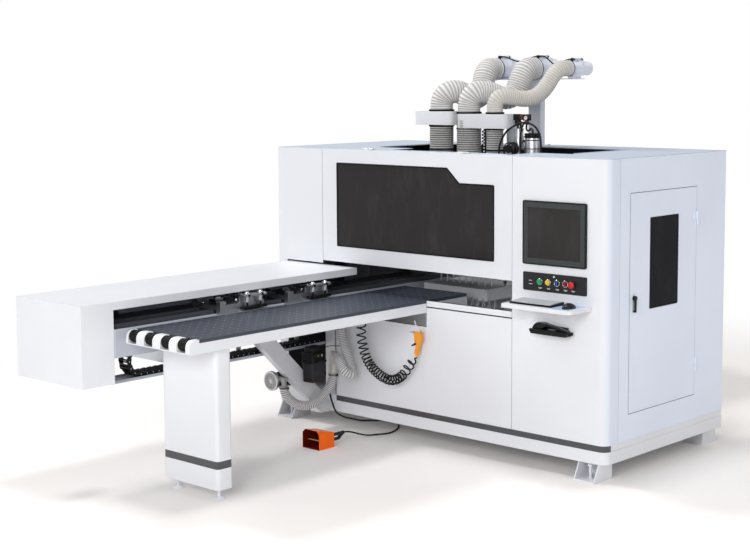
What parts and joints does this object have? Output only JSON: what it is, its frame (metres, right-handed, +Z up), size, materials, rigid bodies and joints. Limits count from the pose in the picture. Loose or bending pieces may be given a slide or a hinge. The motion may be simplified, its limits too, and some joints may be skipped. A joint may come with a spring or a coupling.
{
  "type": "six sided cnc drilling machine",
  "caption": "Through-feed CNC drilling machine: enclosed cabinet with window and control column, float tables, clamp beam with travelling clamps, roof dust hoses.",
  "frame": {"origin": "on the floor, under the middle of the bounding box of all nodes but the free cords", "axes": "+X to the operator's right along the cabinet front, +Y into the machine in the feed direction, +Z up"},
  "size_m": [2.8282, 5.4, 2.585],
  "materials": {
    "cabinet_white": "satin powder coat",
    "frame_pale": "satin powder coat",
    "dark_float_board": "satin laminate",
    "black_rubber": "matte",
    "black_plastic": "fine texture",
    "grey_plastic": "fine texture",
    "white_plastic": "moulded",
    "grey_hose": "ribbed",
    "machined_steel": "ground",
    "galvanised_steel": "galvanised",
    "cast_aluminium": "as cast",
    "orange_plastic": "moulded",
    "green_plastic": "moulded",
    "yellow_plastic": "moulded",
    "blue_plastic": "moulded",
    "red_plastic": "moulded",
    "tinted_glass": "smooth tinted"
  },
  "bodies": {
    "frame": {"base_frame": "cabinet_white", "front_left_panel": "cabinet_white", "front_lower_panel": "cabinet_white", "control_column": "cabinet_white", "right_side_panel": "cabinet_white", "left_side_panel": "cabinet_white", "rear_panel": "cabinet_white", "roof_panel": "frame_pale", "gantry_bridge": "frame_pale", "beam_body": "cabinet_white", "beam_cover_front": "cabinet_white", "beam_cover_rear": "cabinet_white", "drag_chain": "black_plastic", "beam_brace": "frame_pale", "front_table_frame": "cabinet_white", "front_table_board": "dark_float_board", "front_table_leg": "cabinet_white", "rear_table": "cabinet_white", "lubrication_pump": "black_plastic", "suction_blower": "cast_aluminium", "suction_hose": "grey_hose", "drain_hose": "grey_hose", "y_fitting": "white_plastic", "air_gun": "orange_plastic", "air_gun_hose": "black_rubber", "pedal_housing": "orange_plastic", "pedal_cable": "black_rubber", "monitor": "grey_plastic", "button_panel": "grey_plastic", "keyboard_shelf": "cabinet_white", "keyboard": "grey_plastic", "mouse": "black_plastic", "scanner_holder": "black_plastic", "dust_manifold": "galvanised_steel", "dust_hose_1": "grey_hose", "dust_hose_2": "grey_hose", "dust_hose_3": "grey_hose"},
    "window_cover": {"window_cover": "cabinet_white", "window_pane": "tinted_glass"},
    "side_door": {"side_door": "cabinet_white"},
    "side_door_pull": {"side_door_pull": "black_plastic"},
    "clamp_carriage_1": {"clamp_carriage_1": "machined_steel"},
    "clamp_carriage_2": {"clamp_carriage_2": "machined_steel"},
    "clamp_jaw_1": {"clamp_jaw_1": "black_plastic"},
    "clamp_jaw_2": {"clamp_jaw_2": "black_plastic"},
    "nose_roller_1": {"nose_roller_1": "black_rubber"},
    "nose_roller_2": {"nose_roller_2": "black_rubber"},
    "nose_roller_3": {"nose_roller_3": "black_rubber"},
    "nose_roller_4": {"nose_roller_4": "black_rubber"},
    "start_button": {"start_button": "green_plastic"},
    "reset_button": {"reset_button": "yellow_plastic"},
    "mode_selector": {"mode_selector": "blue_plastic"},
    "speed_selector": {"speed_selector": "red_plastic"},
    "emergency_stop": {"emergency_stop": "red_plastic"},
    "barcode_scanner": {"barcode_scanner": "black_plastic"},
    "air_gun_trigger": {"air_gun_trigger": "black_plastic"},
    "pedal_plate": {"pedal_plate": "machined_steel"},
    "head_carriage": {"head_carriage": "galvanised_steel"},
    "drill_head": {"drill_head": "machined_steel"},
    "lower_head": {"lower_head": "machined_steel"}
  },
  "joints": [
    {"name": "cover_hinge", "type": "hinge", "parent": "frame", "child": "window_cover", "pos_m": [-0.14115, -0.3972, 1.9563], "axis": [-1, 0, 0], "range_deg": [0, 80]},
    {"name": "side_door_hinge", "type": "hinge", "parent": "frame", "child": "side_door", "pos_m": [1.40215, 0.58, 1], "axis": [0, 0, 1], "range_deg": [0, 110]},
    {"name": "door_pull_turn", "type": "hinge", "parent": "side_door", "child": "side_door_pull", "pos_m": [1.39615, -0.139, 1.096], "axis": [1, 0, 0], "range_deg": [0, 90]},
    {"name": "clamp_1_travel", "type": "slide", "parent": "frame", "child": "clamp_carriage_1", "axis": [0, 1, 0], "range_m": [-0.7, 0.09]},
    {"name": "clamp_2_travel", "type": "slide", "parent": "frame", "child": "clamp_carriage_2", "axis": [0, 1, 0], "range_m": [-0.09, 3]},
    {"name": "clamp_1_press", "type": "slide", "parent": "clamp_carriage_1", "child": "clamp_jaw_1", "axis": [0, 0, 1], "range_m": [0, 0.025]},
    {"name": "clamp_2_press", "type": "slide", "parent": "clamp_carriage_2", "child": "clamp_jaw_2", "axis": [0, 0, 1], "range_m": [0, 0.025]},
    {"name": "nose_roller_1_spin", "type": "hinge", "parent": "frame", "child": "nose_roller_1", "pos_m": [-0.53615, -2.402, 0.942], "axis": [1, 0, 0], "continuous": true},
    {"name": "nose_roller_2_spin", "type": "hinge", "parent": "frame", "child": "nose_roller_2", "pos_m": [-0.38915, -2.402, 0.942], "axis": [1, 0, 0], "continuous": true},
    {"name": "nose_roller_3_spin", "type": "hinge", "parent": "frame", "child": "nose_roller_3", "pos_m": [-0.24215, -2.402, 0.942], "axis": [1, 0, 0], "continuous": true},
    {"name": "nose_roller_4_spin", "type": "hinge", "parent": "frame", "child": "nose_roller_4", "pos_m": [-0.09515, -2.402, 0.942], "axis": [1, 0, 0], "continuous": true},
    {"name": "start_press", "type": "slide", "parent": "frame", "child": "start_button", "axis": [0, 1, 0], "range_m": [0, 0.005], "stiffness_N_per_m": 400},
    {"name": "reset_press", "type": "slide", "parent": "frame", "child": "reset_button", "axis": [0, 1, 0], "range_m": [0, 0.005], "stiffness_N_per_m": 400},
    {"name": "mode_turn", "type": "hinge", "parent": "frame", "child": "mode_selector", "pos_m": [1.04008, -0.4303, 1.186], "axis": [0, 1, 0], "range_deg": [-45, 45]},
    {"name": "speed_turn", "type": "hinge", "parent": "frame", "child": "speed_selector", "pos_m": [1.1017, -0.4303, 1.186], "axis": [0, 1, 0], "range_deg": [-45, 45]},
    {"name": "emergency_stop_press", "type": "slide", "parent": "frame", "child": "emergency_stop", "axis": [0, 1, 0], "range_m": [0, 0.005]},
    {"name": "scanner_lift", "type": "slide", "parent": "frame", "child": "barcode_scanner", "axis": [0, 0, 1], "range_m": [0, 0.09]},
    {"name": "air_gun_squeeze", "type": "hinge", "parent": "frame", "child": "air_gun_trigger", "pos_m": [-0.06371, -0.47, 0.709], "axis": [0, -1, 0], "range_deg": [0, 8], "stiffness_Nm_per_rad": 0.6},
    {"name": "pedal_press", "type": "hinge", "parent": "frame", "child": "pedal_plate", "pos_m": [-0.53915, -0.871, 0.034], "axis": [1, 0, 0], "range_deg": [0, 8], "stiffness_Nm_per_rad": 5, "springref_deg": -17.19},
    {"name": "head_travel", "type": "slide", "parent": "frame", "child": "head_carriage", "axis": [1, 0, 0], "range_m": [-0.24, 0.2], "deforming": ["dust_hose_1", "dust_hose_2", "dust_hose_3"]},
    {"name": "drill_feed", "type": "slide", "parent": "head_carriage", "child": "drill_head", "axis": [0, 0, 1], "range_m": [-0.08, 0]},
    {"name": "lower_head_travel", "type": "slide", "parent": "frame", "child": "lower_head", "axis": [1, 0, 0], "range_m": [-0.4, 0.4]}
  ]
}
